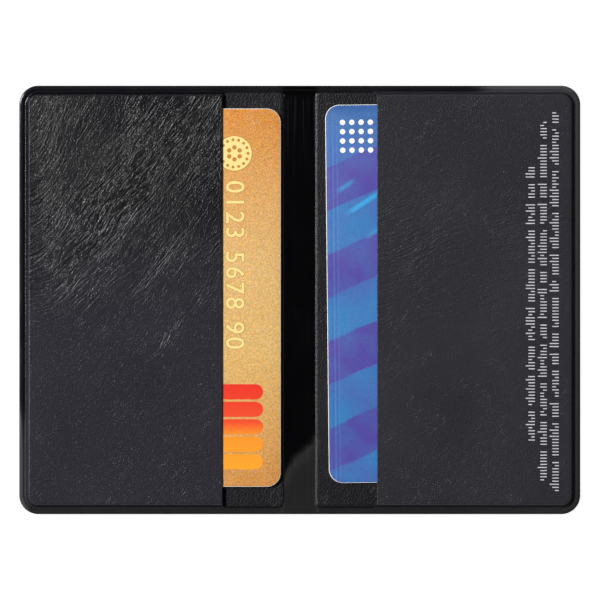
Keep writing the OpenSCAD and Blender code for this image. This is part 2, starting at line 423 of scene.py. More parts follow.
# %% [markdown]
# The grain of the vinyl is rolled into it: small pebbles with thin valleys between them, and
# finer grit on top. Voronoi cells give the pebbles, measured from their edges, and stretched
# noise gives creases where the mesh says they run. The panels, liners and covers all use
# it, so it is a group.

# %% Grain of the vinyl
grain, given, grain_out = effect(
    "vinyl_grain",
    [("Position", VECTOR, (0, 0, 0)), ("Pebble Size", FLOAT, 0.0008), ("Pebbles", FLOAT, 0.5),
     ("Grit", FLOAT, 0.3), ("Flow", VECTOR, (0, 0, 0)), ("Creases", FLOAT, 0.0)],
    ["Height", "Hollow"],
)
per_size = sums(grain, "DIVIDE", 1.0, given["Pebble Size"])
warp = step(grain, "ShaderNodeTexNoise", {"Vector": given["Position"], "Scale": 900.0, "Detail": 2.0})
bent = step(grain, "ShaderNodeVectorMath", {
    0: warp.outputs["Color"], 1: (0.0007, 0.0007, 0.0007), 2: given["Position"]}, operation="MULTIPLY_ADD")
cells = step(grain, "ShaderNodeTexVoronoi", {
    "Vector": bent.outputs[0], "Scale": per_size}, feature="DISTANCE_TO_EDGE")
pebbles = spread(grain, cells.outputs["Distance"], 0.0, 0.27, smooth=True)
grit = cloud(grain, given["Position"], sums(grain, "MULTIPLY", per_size, 3.0), Roughness=0.45)
across, along, strength = parts_of(grain, given["Flow"])
lines = []
for line_scale, run_scale in ((0.85, 0.10), (1.6, 0.22)):
    stretched = step(grain, "ShaderNodeCombineXYZ", {
        0: sums(grain, "MULTIPLY", across, line_scale), 1: sums(grain, "MULTIPLY", along, run_scale)})
    wave = cloud(grain, stretched.outputs[0], 1.0, 1.0)
    lines.append(spread(grain, away(grain, wave, 0.5), 0.0, 0.06, 1.0, 0.0))
creased = sums(grain, "MULTIPLY_ADD", lines[1], 0.7, lines[0])
creased = sums(grain, "MULTIPLY", creased, sums(grain, "MULTIPLY", strength, given["Creases"]))
height = sums(grain, "MULTIPLY", pebbles, given["Pebbles"])
height = sums(grain, "MULTIPLY_ADD", grit, given["Grit"], height)
# Hollow marks the valleys and creases. The materials make them duller with it and paint shade into them.
hollow = sums(grain, "MULTIPLY", creased, 0.8)
hollow = sums(grain, "MULTIPLY_ADD", sums(grain, "SUBTRACT", 1.0, pebbles), 0.5, hollow)
grain.links.new(sums(grain, "SUBTRACT", height, creased), grain_out["Height"])
grain.links.new(spread(grain, hollow, 0.0, 1.0), grain_out["Hollow"])
print("grain group:", len(grain.nodes), "nodes")

# %% [markdown]
# Handling leaves its marks on everything: broad smudges where fingers have been, and hair
# scratches. This group gives both as masks, and each material turns them into changes of
# gloss or tone.

# %% Marks of handling
marks, given, marks_out = effect(
    "handling_marks",
    [("Position", VECTOR, (0, 0, 0)), ("Smudge Size", FLOAT, 0.02), ("Scratch Size", FLOAT, 0.012)],
    ["Smudge", "Scratch"],
)
smudge_scale = sums(marks, "DIVIDE", 1.0, given["Smudge Size"])
smudge = cloud(marks, given["Position"], smudge_scale, 3.0, Distortion=0.6)
marks.links.new(spread(marks, smudge, 0.3, 0.7), marks_out["Smudge"])
scratches = []
for number, (turn, stretch) in enumerate(((0.5, 14.0), (2.3, 20.0))):
    turned = step(marks, "ShaderNodeVectorRotate", {
        "Vector": given["Position"], "Angle": turn}, rotation_type="Z_AXIS")
    longer = step(marks, "ShaderNodeVectorMath", {
        0: turned.outputs[0], 1: (1.0, stretch, 1.0)}, operation="MULTIPLY")
    hairs = cloud(marks, longer.outputs[0], sums(marks, "DIVIDE", 1.0 + number, given["Scratch Size"]))
    some = spread(marks, cloud(marks, given["Position"], 90.0 + 40 * number, 1.0), 0.55, 0.65)
    hair = spread(marks, away(marks, hairs, 0.5), 0.0, 0.006, 1.0, 0.0)
    scratches.append(sums(marks, "MULTIPLY", hair, some))
marks.links.new(sums(marks, "MAXIMUM", *scratches), marks_out["Scratch"])
print("marks group:", len(marks.nodes), "nodes")


def handled(tree, position, smudge_size, scratch_size):
    """The marks of handling in a material, as sockets"""
    sizes = {"Position": position, "Smudge Size": smudge_size, "Scratch Size": scratch_size}
    return step(tree, "ShaderNodeGroup", sizes, node_tree=marks).outputs


# %% [markdown]
# Grained vinyl is a dark plastic with a soft sheen. Its valleys are duller than the tops of its pebbles,
# which handling has polished, and their tone is painted darker, as painted shade in the valleys and
# creases. The same recipe serves the pockets, the liners and the outside, with other depths. The creases
# at the left pocket's upper end throw back so much light that its tone is painted darker there, a painted
# shade that keeps it as black as the rest.


# %% Grained vinyl
def grained_vinyl(name, tint, pebble_size, pebbles, grit, crease, depth, gloss,
                  pressed_z=-1.0, sheen=0.38, top_shade=0.0, fullest=1.0):
    """The sleeve's grained vinyl. depth is the relief of a height of 1, in metres. Below
    pressed_z the welding tool has drawn the sheet smooth. Towards the upper end top_shade
    darkens the tone, and the pebbles grow to fullest times their height"""
    material, tree, shader, position = started(name, Specular_IOR_Level=sheen)
    _, y, z = parts_of(tree, position)
    grained = step(tree, "ShaderNodeGroup", {
        "Position": position, "Pebble Size": pebble_size, "Grit": grit, "Creases": crease,
        "Pebbles": spread(tree, y, -5 * MM, 30 * MM, 0.85 * pebbles, fullest * pebbles),
        "Flow": step(tree, "ShaderNodeAttribute", attribute_name="crease_flow").outputs["Vector"],
    }, node_tree=grain).outputs
    worn = handled(tree, position, 0.03, 0.02)
    tone = mixed(tree, worn["Smudge"], tint, tuple(c * 1.25 for c in tint))
    # Painted shade: the valleys and creases get a darker tone.
    tone = mixed(tree, grained["Hollow"], tone, tuple(c * 0.7 for c in tint))
    # Painted shade towards the upper end, as strong as top_shade.
    tone = mixed(tree, spread(tree, y, -8 * MM, 22 * MM, 0.0, top_shade), tone, (0, 0, 0))
    pressed = spread(tree, z, pressed_z - 0.45 * MM, pressed_z, 1.0, 0.0, smooth=True)
    dull = spread(tree, grained["Hollow"], 0.0, 1.0, gloss, gloss + 0.12)
    dull = sums(tree, "MULTIPLY_ADD", worn["Smudge"], 0.06, dull)
    dull = sums(tree, "MULTIPLY_ADD", pressed, -0.08, dull)
    feed(tree, shader, Base_Color=tone, Roughness=dull)
    relief = sums(tree, "MULTIPLY_ADD", worn["Scratch"], -0.25, grained["Height"])
    relief = sums(tree, "MULTIPLY", relief, sums(tree, "MULTIPLY_ADD", pressed, -0.75, 1.0))
    raised(tree, shader, relief, depth)
    return material


LEFT_TINT = (0.0180, 0.0172, 0.0240)
RIGHT_TINT = (0.0160, 0.0155, 0.0210)
COVER_TINT = (0.0112, 0.0109, 0.0160)
LINER_TINT = (0.0026, 0.0025, 0.0042)
PRESSED_Z = PANEL_TOP_Z - 0.12 * MM
pocket_left_vinyl = grained_vinyl("pocket_vinyl_left", LEFT_TINT, 0.54 * MM, 0.15, 0.19, 0.74,
                                  0.14 * MM, 0.25, PRESSED_Z, 0.31, 0.8, 1.2)
pocket_right_vinyl = grained_vinyl("pocket_vinyl_right", RIGHT_TINT, 0.54 * MM, 0.17, 0.19, 0.8,
                                   0.11 * MM, 0.32, PRESSED_Z)
liner_vinyl = grained_vinyl("liner_vinyl", LINER_TINT, 0.7 * MM, 0.28, 0.22, 0.0, 0.085 * MM, 0.36)
cover_vinyl = grained_vinyl("cover_vinyl", COVER_TINT, 0.8 * MM, 0.45, 0.30, 0.8, 0.075 * MM, 0.44)
print("grained vinyl in four strengths")

# %% [markdown]
# Where the hot tool has pressed the vinyl, the grain is gone and the surface is glossy. Very
# weak ripples and a few scratches keep its reflections from being perfect. Handling has rubbed it
# dull along the right and the foot of the rim and at the lower end of the spine. Its tone is near
# black on the spine band, and painted shade darkens it where the rim is dull at the right and the
# foot. A painted reflection turns the rim grey along the right, at the top-right corner and at the
# lower-left corner. Fine streaks run along the spine's upper end.

# %% Welded vinyl
welded_vinyl, tree, shader, position = started("welded_vinyl", Specular_IOR_Level=0.36)
worn = handled(tree, position, 0.012, 0.01)
x, y, _ = parts_of(tree, position)
to_right = spread(tree, x, 38 * MM, 46 * MM, smooth=True)
to_foot = spread(tree, y, -22 * MM, -36 * MM, smooth=True)
near_spine = spread(tree, sums(tree, "ABSOLUTE", x), BAND_OUT, BAND_OUT + 1 * MM, 1.0, 0.0)
off_spine = sums(tree, "SUBTRACT", 1.0, near_spine)
rubbed_line = sums(tree, "MULTIPLY_ADD", x, 1.15, -38.9 * MM)
rubbed_line = sums(tree, "MULTIPLY_ADD", cloud(tree, position, 300.0, 3.0), 5 * MM, rubbed_line)
rubbed = spread(tree, sums(tree, "SUBTRACT", y, rubbed_line), 4 * MM, -3 * MM, smooth=True)
dullness = sums(tree, "MAXIMUM", to_right, sums(tree, "MULTIPLY", to_foot, off_spine))
dullness = sums(tree, "MAXIMUM", dullness, sums(tree, "MULTIPLY", rubbed, near_spine))
# Painted reflection: the rim is painted lighter grey along the right, at the top-right corner and at the
# lower-left corner.
right_grey = sums(tree, "MULTIPLY", to_right, spread(tree, y, -45 * MM, 40 * MM, 0.12, 0.42))
top_grey = sums(tree, "MULTIPLY", to_right, spread(tree, y, 46.3 * MM, 47.3 * MM, 0.0, 0.95))
left_grey = sums(tree, "MULTIPLY", to_foot, spread(tree, x, -60.9 * MM, -62.5 * MM))
painted_reflection = sums(tree, "MAXIMUM", right_grey, sums(tree, "MAXIMUM", top_grey, left_grey))
tone = mixed(tree, worn["Smudge"], (0.0065, 0.0067, 0.0087), (0.0095, 0.0097, 0.0120))
# Near black on the spine band, and painted shade where the rim is dull at the right and the foot.
tone = mixed(tree, sums(tree, "MAXIMUM", near_spine, dullness), tone, (0.0010, 0.0010, 0.0014))
tone = mixed(tree, painted_reflection, tone, (0.038, 0.037, 0.042))
combed = step(tree, "ShaderNodeMapping", {"Vector": position, "Scale": (2600.0, 35.0, 1.0)})
streak = spread(tree, cloud(tree, combed.outputs[0], 1.0, 1.0), 0.52, 0.7)
streak_zone = sums(tree, "MULTIPLY", near_spine, spread(tree, y, 22 * MM, 40 * MM, smooth=True))
streak_zone = sums(tree, "MULTIPLY", streak_zone, spread(tree, y, 46.6 * MM, 45 * MM))
tone = mixed(tree, sums(tree, "MULTIPLY", streak, streak_zone), tone, (0.009, 0.007, 0.008))
gloss = spread(tree, worn["Smudge"], 0.0, 1.0, 0.12, 0.2)
gloss = sums(tree, "MULTIPLY_ADD", dullness, 0.7, gloss)
gloss = sums(tree, "MULTIPLY_ADD", worn["Scratch"], 0.12, gloss)
feed(tree, shader, Base_Color=tone, Roughness=gloss)
ripples = cloud(tree, position, 260.0)
raised(tree, shader, sums(tree, "MULTIPLY_ADD", worn["Scratch"], -0.1, ripples), 0.02 * MM)
print("welded vinyl:", len(tree.nodes), "nodes")

# %% [markdown]
# The pocket panels rise from the weld in a drawn shoulder, run flat over the card and end in
# a cut edge, the pocket's mouth. At its ends the mouth swings out into the weld. The shoulder
# is half a cosine wave, level at both ends, and the creases fade out on it.


# %% Pocket panels
def wave_rise(share):
    """A rise from 0 to 1 that is level at both ends"""
    return (1 - np.cos(np.pi * np.clip(share, 0, 1))) / 2


FINE = 0.225 * MM
SHOULDER_STEP = 0.1 * MM
CUT_ROUND = 0.12 * MM
FLARE_RUN = 3.0 * MM
RELIEF_MOST = 0.06 * MM
MOUTH_CENTRE_Y = FIELD_Y + MOUTH_LAP - MOUTH_R

panel_out = joined(
    steps(MOUTH_OUT, MOUTH_OUT + CUT_ROUND, CUT_ROUND / 4),
    steps(MOUTH_OUT + CUT_ROUND, FIELD_OUT - 1.2 * SHOULDER_W, FINE),
    steps(FIELD_OUT - 1.2 * SHOULDER_W, FIELD_OUT, SHOULDER_STEP),
)
inner_y = FIELD_Y - 1.2 * SHOULDER_W
panel_y = joined(
    steps(-FIELD_Y, -inner_y, SHOULDER_STEP),
    steps(-inner_y, inner_y, FINE),
    steps(inner_y, FIELD_Y, SHOULDER_STEP),
)


def fit_panel(out, y):
    """The panel's true outline: rounded at the outer corners, flared at the mouth"""
    to_mouth = out - MOUTH_OUT
    pull = flare(y, MOUTH_CENTRE_Y, MOUTH_R) * np.clip(1 - to_mouth / FLARE_RUN, 0, 1)
    return round_corners(out - pull, y, FIELD_OUT, 1, FIELD_Y, CORNER_R - RIM_W)


def panel_inward(out, y):
    """Distance from the weld, on the square grid"""
    return np.minimum(FIELD_OUT - out, FIELD_Y - abs(y))


def cut_round(out):
    """How far the rounded cut edge falls away at the mouth"""
    near = np.clip(CUT_ROUND - (out - MOUTH_OUT), 0, CUT_ROUND)
    return CUT_ROUND - np.sqrt(CUT_ROUND**2 - near**2)


def panel_top(flow, depth):
    """The height rule of a panel's face. Its relief stays under the gap of the folded sleeve"""
    def height_at(out, y, x, true_y):
        inward = panel_inward(out, y)
        rise = GROOVE_Z + (PANEL_TOP_Z - GROOVE_Z) * wave_rise(inward / SHOULDER_W)
        relief = np.minimum(creases(flow, x, true_y, depth), RELIEF_MOST)
        return rise + relief * wave_rise((inward - 0.3 * SHOULDER_W) / SHOULDER_W) - cut_round(out)
    return height_at


def panel_back(out, y):
    """The height rule of a panel's hidden back"""
    inward = panel_inward(out, y)
    foot = LINER_RIM_Z + (LINER_Z - LINER_RIM_Z) * np.clip(inward / BEVEL_W, 0, 1)
    top = PANEL_TOP_Z - PANEL_T - LINER_Z
    return foot + top * wave_rise((inward - BEVEL_W) / SHOULDER_W) + cut_round(out)


for side, half, flow_of, crease_depth, vinyl in (
    (-1, "left", left_flow, 0.15 * MM, pocket_left_vinyl),
    (1, "right", right_flow, 0.05 * MM, pocket_right_vinyl),
):
    pocket = sheet_shell(f"pocket_{half}", side, panel_out, panel_y, fit_panel,
                         panel_top(flow_of, crease_depth), panel_back, vinyl)
    keep_flow(pocket, flow_of)
    belongs(pocket, f"{half}_half", "grained_vinyl", f"pocket_panel_{half}")
    top = max(v.co.z for v in pocket.data.vertices)
    print(f"{pocket.name}: {len(pocket.data.polygons)} faces, top at {top / MM:.2f} mm")

# %% [markdown]
# The liner lies under the card and shows beside it. The outer cover is the sleeve's back. Both
# fill the area inside the weld, with a bevel where the welding tool has thinned them. That
# area has tighter corners beside the spine band than at the outside.

# %% Area inside the weld
BEVEL_STEP = 0.09 * MM
FLAT_STEP = 0.45 * MM
area_out = joined(
    steps(BAND_OUT, BAND_OUT + BEVEL_W, BEVEL_STEP),
    steps(BAND_OUT + BEVEL_W, FIELD_OUT - BEVEL_W, FLAT_STEP),
    steps(FIELD_OUT - BEVEL_W, FIELD_OUT, BEVEL_STEP),
)
bevel_y = FIELD_Y - BEVEL_W
area_y = joined(
    steps(-FIELD_Y, -bevel_y, BEVEL_STEP),
    steps(-bevel_y, bevel_y, FLAT_STEP),
    steps(bevel_y, FIELD_Y, BEVEL_STEP),
)


def fit_area(out, y):
    """The area inside the weld, with its two kinds of corner"""
    out, y = round_corners(out, y, FIELD_OUT, 1, FIELD_Y, CORNER_R - RIM_W)
    return round_corners(out, y, BAND_OUT, -1, FIELD_Y, FIELD_R)


def area_inward(out, y):
    """Distance from the weld all round the area, on the square grid"""
    return np.minimum(np.minimum(FIELD_OUT - out, out - BAND_OUT), FIELD_Y - abs(y))


def area_bevel(out, y):
    """0 at the weld and 1 from the bevel's inner edge on"""
    return wave_rise(area_inward(out, y) / BEVEL_W)


# %% Liners and outer covers
def liner_top(out, y, x, true_y):
    """The liner's face, with a slight unevenness that stays clear of the card"""
    uneven = 0.012 * MM * soft_noise(x / (2.5 * MM), true_y / (6 * MM), 61.0)
    return LINER_RIM_Z + (LINER_Z - LINER_RIM_Z + uneven) * area_bevel(out, y)


def liner_back(out, y):
    """The liner's back, which lies on the film"""
    return np.full(out.shape, COVER_TOP_Z + 0.1 * MM)


def cover_face(out, y, x, true_y):
    """The outer cover's face, which lies on the table: it wrinkles upwards only"""
    relief = creases(cover_flow, x, true_y, 0.03 * MM)
    return BACK_Z * (1 - area_bevel(out, y)) + np.clip(relief.max() - relief, 0, BACK_Z)


def cover_back(out, y):
    """The outer cover's inner side"""
    return np.full(out.shape, COVER_TOP_Z)


def cover_flow(x, y):
    """Faint creases on the outside, mostly along the spine"""
    u, v = abs(x) / MM, y / MM
    drift = 2.5 * soft_noise(u / 14, v / 14, 71.0) + 0.6 * soft_noise(u / 4, v / 4, 73.0)
    strength = 0.10 + 0.35 * hump(u - BAND_OUT / MM - 2, 6) * (1 + soft_noise(u / 9, v / 12, 75.0))
    return 0.9 * u - 0.25 * v + drift, v + 0.2 * u, np.clip(strength, 0, 1)


for side, half in ((-1, "left"), (1, "right")):
    liner = sheet_shell(f"liner_{half}_grained", side, area_out, area_y, fit_area,
                        liner_top, liner_back, liner_vinyl)
    cover = sheet_shell(f"cover_{half}_grained", side, area_out, area_y, fit_area,
                        cover_face, cover_back, cover_vinyl, fine_up=False)
    keep_flow(cover, cover_flow)
    for piece, node in ((liner, f"liner_{half}"), (cover, f"outer_cover_{half}")):
        belongs(piece, f"{half}_half", "grained_vinyl", node)
    print(f"{liner.name} and {cover.name}: {len(cover.data.polygons)} faces each")

# %% [markdown]
# The welded rim is one section run along a path, so Geometry Nodes make it: curves that
# together draw the section are swept along the sleeve's outline and merged where they meet.
# The sizes are the tree's inputs. The path is closely stepped beside the spine, where the
# rim has to bend when the sleeve folds.


# %% Helpers for geometry trees
def geometry_tree(name, inputs):
    """An empty geometry node tree that takes a geometry, named inputs and a material"""
    tree = bpy.data.node_groups.new(name, "GeometryNodeTree")
    for label, kind in (("Geometry", "NodeSocketGeometry"), *inputs, ("Material", "NodeSocketMaterial")):
        tree.interface.new_socket(label, in_out="INPUT", socket_type=kind)
    tree.interface.new_socket("Geometry", in_out="OUTPUT", socket_type="NodeSocketGeometry")
    return tree, tree.nodes.new("NodeGroupInput").outputs


def ended(tree, geometry, material):
    """Ends a tree with real geometry that has its material"""
    real = step(tree, "GeometryNodeRealizeInstances", {"Geometry": geometry})
    coated = step(tree, "GeometryNodeSetMaterial", {"Geometry": real.outputs[0], "Material": material})
    step(tree, "NodeGroupOutput", {"Geometry": coated.outputs[0]})
    print(f"{tree.name} tree: {len(tree.nodes)} nodes")


def settled(name, carrier):
    """The evaluated shape of an object as a plain mesh. The object itself is removed"""
    mesh = bpy.data.meshes.new_from_object(carrier.evaluated_get(bpy.context.evaluated_depsgraph_get()))
    carrier.modifiers.clear()
    bpy.data.objects.remove(carrier)
    mesh.name = name
    return mesh


def grown(name, base_mesh, tree, values):
    """Runs a tree on a mesh and returns the result as an object with a plain mesh"""
    carrier = into_scene(name + "_carrier", base_mesh)
    modifier = carrier.modifiers.new(tree.name, "NODES")
    modifier.node_group = tree
    for item in tree.interface.items_tree:
        if item.item_type == "SOCKET" and item.in_out == "INPUT" and item.name in values:
            modifier[item.identifier] = values[item.name]
    return into_scene(name, settled(name, carrier))


# %% [markdown]
# The section has six stretches: the round bead, the floor of the groove, the wall towards the
# sheets, the back, the round of the lower edge and the outer wall.

# %% Tree of the welded rim
RIM_SIZES = ("Rim Width", "Bead Width", "Bead Height", "Groove Height", "Back Height", "Edge Round")
rim_tree, given = geometry_tree("welded_rim", [(label, FLOAT) for label in RIM_SIZES])


def corner(across, up):
    """A point of the section, from sockets or numbers"""
    return step(rim_tree, "ShaderNodeCombineXYZ", {0: across, 1: up}).outputs[0]


def line(start, end):
    """A straight stretch of the section"""
    return step(rim_tree, "GeometryNodeCurvePrimitiveLine", {"Start": start, "End": end}).outputs[0]


def arc(start, sweep, points, centre, radii):
    """An arc of an ellipse of the section"""
    turn = step(rim_tree, "GeometryNodeCurveArc", {
        "Resolution": points, "Radius": 1.0, "Start Angle": start, "Sweep Angle": sweep}, mode="RADIUS")
    return step(rim_tree, "GeometryNodeTransform", {
        "Geometry": turn.outputs["Curve"], "Translation": centre, "Scale": radii}).outputs["Geometry"]


rim_width, bead_width, bead_height, groove_height, back_height, edge_round = (
    given[label] for label in RIM_SIZES)
half_bead = sums(rim_tree, "MULTIPLY", bead_width, 0.5)
wall_foot = sums(rim_tree, "ADD", back_height, edge_round)
section = step(rim_tree, "GeometryNodeJoinGeometry")
for stretch in (
    arc(0.0, math.pi, 13, corner(half_bead, groove_height), corner(half_bead, bead_height)),
    line(corner(bead_width, groove_height), corner(rim_width, groove_height)),
    line(corner(rim_width, groove_height), corner(rim_width, back_height)),
    line(corner(rim_width, back_height), corner(edge_round, back_height)),
    arc(math.pi, math.pi / 2, 5, corner(edge_round, wall_foot), corner(edge_round, edge_round)),
    line(corner(0.0, wall_foot), corner(0.0, groove_height)),
):
    rim_tree.links.new(stretch, section.inputs[0])
path = step(rim_tree, "GeometryNodeMeshToCurve", {"Mesh": given["Geometry"]})
level = step(rim_tree, "GeometryNodeSetCurveNormal", {"Curve": path.outputs[0]}, mode="Z_UP")
swept = step(rim_tree, "GeometryNodeCurveToMesh", {
    "Curve": level.outputs[0], "Profile Curve": section.outputs[0]})
upright = step(rim_tree, "GeometryNodeTransform", {"Geometry": swept.outputs[0], "Scale": (1, 1, -1)})
welded = step(rim_tree, "GeometryNodeMergeByDistance", {"Geometry": upright.outputs[0], "Distance": 1e-6})
ended(rim_tree, welded.outputs[0], given["Material"])

# %% [markdown]
# A sweep keeps the section's first axis on the right of its path and turns the second one down,
# which is why the path runs with the sleeve on its right and the result is mirrored in height. The
# spine band joins the two rims. It is part of the same pressed skin, so it goes into the same
# piece.

# %% Path of the rim
BEND_STEP = 0.1 * MM


def rim_path(side):
    """The sleeve's outline from the middle of the top edge round one half to the bottom one"""
    bend_end = BAND_OUT + FIELD_R
    top = joined(steps(0, bend_end, BEND_STEP), steps(bend_end, EDGE_OUT - CORNER_R, 1.0 * MM))
    angles = np.radians(np.linspace(90, 0, 31)[1:-1])
    flank = steps(EDGE_Y - CORNER_R, 0, 1.5 * MM)
    points = [(out, EDGE_Y) for out in top]
    points += [(EDGE_OUT - CORNER_R * (1 - math.cos(a)), EDGE_Y - CORNER_R * (1 - math.sin(a)))
               for a in angles]
    points += [(EDGE_OUT, y) for y in flank]
    points += [(out, -y) for out, y in reversed(points[:-1])]
    if side < 0:
        points.reverse()
    mesh = bpy.data.meshes.new("rim_path")
    edges = [(i, i + 1) for i in range(len(points) - 1)]
    mesh.from_pydata([(side * out, y, 0) for out, y in points], edges, [])
    return mesh


# %% Spine band
GROOVE_DEPTH = 0.02 * MM
GROOVE_W = 0.25 * MM
RAMP_W = 0.5 * MM


def fit_band(out, y):
    """The band's outline: its edge swings out along the rim round the area's corners"""
    swing = flare(y, FIELD_Y - FIELD_R, FIELD_R) * np.clip(out / BAND_OUT, 0, 1) ** 2
    return out + swing, y


def band_top(out, y, x, true_y):
    """The band's face: a fold line pressed into it, weak ripples, and ramps up to the rim"""
    ramp = wave_rise(1 - (FIELD_Y - abs(y)) / RAMP_W)
    crease = GROOVE_DEPTH * hump(out - FOLD_OUT, GROOVE_W)
    upper = np.clip(y / FIELD_Y * 0.7 + 0.5, 0.15, 1)
    ripple = 0.008 * MM * upper * soft_noise(x / (0.7 * MM), y / (30 * MM), 81.0)
    return BAND_Z + (GROOVE_Z - BAND_Z) * ramp + (ripple - crease) * (1 - ramp)


def band_back(out, y):
    """The band's back, which lies on the table"""
    return np.full(out.shape, BACK_Z)


band_out = joined(steps(0, BAND_OUT, BEND_STEP))
band_end = FIELD_Y - FIELD_R
band_y = joined(steps(-FIELD_Y, -band_end, BEND_STEP), steps(-band_end, band_end, 1.0 * MM),
                steps(band_end, FIELD_Y, BEND_STEP))
print("band grid:", len(band_out), "by", len(band_y))


def closed_and_outward(obj):
    """Fills open ends and points every face outwards"""
    work = bmesh.new()
    work.from_mesh(obj.data)
    bmesh.ops.remove_doubles(work, verts=work.verts, dist=1e-7)
    open_edges = [e for e in work.edges if e.is_boundary]
    if open_edges:
        bmesh.ops.holes_fill(work, edges=open_edges, sides=0)
    bmesh.ops.recalc_face_normals(work, faces=work.faces)
    work.to_mesh(obj.data)
    work.free()
    return obj


def add_mesh(obj, other):
    """Moves the other object's mesh into obj"""
    work = bmesh.new()
    work.from_mesh(obj.data)
    work.from_mesh(other.data)
    work.to_mesh(obj.data)
    work.free()
    bpy.data.objects.remove(other)
    return obj


for side, half, first, second in ((-1, "left", "left_half", "spine"), (1, "right", "spine", "right_half")):
    skin = grown(f"welded_skin_{half}", rim_path(side), rim_tree, {
        "Rim Width": RIM_W, "Bead Width": BEAD_W, "Bead Height": RIM_TOP_Z - GROOVE_Z,
        "Groove Height": GROOVE_Z, "Back Height": BACK_Z, "Edge Round": EDGE_ROUND, "Material": welded_vinyl})
    closed_and_outward(skin)
    band = sheet_shell("band", side, band_out, band_y, fit_band, band_top, band_back, welded_vinyl, skip=1)
    add_mesh(skin, band)
    skin.data.shade_smooth()
    skin.data.set_sharp_from_angle(angle=SHARP_ANGLE)
    middle = side * FOLD_OUT
    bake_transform(skin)
    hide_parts(f"weld_frame_{half}", "spine_strip")
    print(f"{skin.name}: {len(skin.data.polygons)} faces, bends at {middle / MM:.2f} mm")

# %% [markdown]
# A bank card is a white plastic core between two printed sheets, punched out in one stroke,
# which leaves its upper edge slightly rounded and the core showing as a pale line. The print
# needs places on the card, also on the one that lies askew, so each point keeps how far it is
# from the card's visible long edge and how far along the card it is, in mm.

# %% Card bodies
CARD_L = gold_high.y - gold_low.y
CARD_W = gold_high.x - gold_low.x
CARD_R = 3.18 * MM
CARD_EDGE = 0.13 * MM
BLUE_TURN = math.radians(0.6)


def card_to_frame(low, high, turn):
    """Gives the place in the frame of a point of a card, from its place on the card"""
    centre = (low + high) / 2

    def place(across, along):
        return (centre.x + across * math.cos(turn) - along * math.sin(turn),
                centre.y + across * math.sin(turn) + along * math.cos(turn))
    return place


def card_body(name, low, high, turn, seen_side, print_material, core_material):
    """A card with rounded corners and edges. seen_side is +1 if its +X edge shows, else -1"""
    place = card_to_frame(low, high, turn)
    base = low.z
    top = base + CARD_TOP_Z - gold_low.z
    layers = [(CARD_EDGE, base), (0.3 * CARD_EDGE, base + 0.2 * CARD_EDGE), (0, base + 0.8 * CARD_EDGE),
              (0, top - 0.8 * CARD_EDGE), (0.3 * CARD_EDGE, top - 0.2 * CARD_EDGE), (CARD_EDGE, top)]
    verts, places = [], []
    for inset, z in layers:
        for quarter in range(4):
            for angle in np.radians(np.linspace(90 * quarter, 90 * quarter + 90, 13)):
                side_a = 1 if quarter in (0, 3) else -1
                side_b = 1 if quarter in (0, 1) else -1
                across = side_a * (CARD_W / 2 - CARD_R) + (CARD_R - inset) * math.cos(angle)
                along = side_b * (CARD_L / 2 - CARD_R) + (CARD_R - inset) * math.sin(angle)
                verts.append((*place(across, along), z))
                places.append(((CARD_W / 2 - seen_side * across) / MM, along / MM, (z - base) / MM))
    ring = len(verts) // len(layers)
    faces = [tuple(reversed(range(ring)))]
    for layer in range(len(layers) - 1):
        for i in range(ring):
            a, b = layer * ring + i, layer * ring + (i + 1) % ring
            faces.append((a, b, b + ring, a + ring))
    faces.append(tuple(range(len(verts) - ring, len(verts))))
    card = finished(name, verts, faces, print_material)
    card.data.materials.append(core_material)
    for face in card.data.polygons[1:-1]:
        face.material_index = 1
    keep(card.data, "card_mm", places)
    return card


def ramp(tree, share, stops):
    """A colour that runs through several others"""
    node = step(tree, "ShaderNodeValToRGB", {0: share})
    elements = node.color_ramp.elements
    while len(elements) < len(stops):
        elements.new(1.0)
    for element, (place, colour) in zip(elements, stops):
        element.position = place
        element.color = (*colour, 1)
    return node.outputs[0]


# %% [markdown]
# The gold print is a sheet with metal flakes under a clear laminate: orange at both ends,
# pale in the middle, and speckled all over. Fine noise stands for the flakes, and a few small
# Voronoi cells get a painted glint, a lighter tone. The blue print has slanting violet bands,
# soft cyan streaks and fine lines along the seen edge.


# %% Helpers for prints
def card_places(tree):
    """The place on the card, its across and its along, in mm"""
    place = step(tree, "ShaderNodeAttribute", attribute_name="card_mm").outputs["Vector"]
    across, along, _ = parts_of(tree, place)
    return place, across, along


def flecks(tree, where, scale):
    """Three values of fine noise at a place"""
    fine = step(tree, "ShaderNodeTexNoise", {
        "Vector": where, "Scale": scale, "Detail": 2.0, "Roughness": 0.6})
    return step(tree, "ShaderNodeSeparateColor", {0: fine.outputs["Color"]}).outputs


def laminate(tree, shader, tone, position, gloss):
    """Finishes a card print with its colour, its gloss and the marks of use"""
    worn = handled(tree, position, 0.015, 0.008)
    dull = spread(tree, worn["Smudge"], 0.0, 1.0, gloss, gloss + 0.1)
    feed(tree, shader, Base_Color=tone, Roughness=sums(tree, "MULTIPLY_ADD", worn["Scratch"], 0.15, dull))
    raised(tree, shader, sums(tree, "SUBTRACT", 1.0, worn["Scratch"]), 0.004 * MM)


# %% Gold print
gold_print, tree, shader, position = started("gold_card_print", Specular_IOR_Level=0.5, Metallic=0.15)
place, across, along = card_places(tree)
tone = ramp(tree, spread(tree, along, -42.8, 42.8), [
    (0.0, (0.66, 0.28, 0.06)), (0.14, (0.73, 0.37, 0.10)), (0.36, (0.76, 0.47, 0.15)),
    (0.6, (0.76, 0.46, 0.165)), (0.8, (0.73, 0.37, 0.105)), (1.0, (0.69, 0.26, 0.04))])
flake = flecks(tree, place, 3.0)
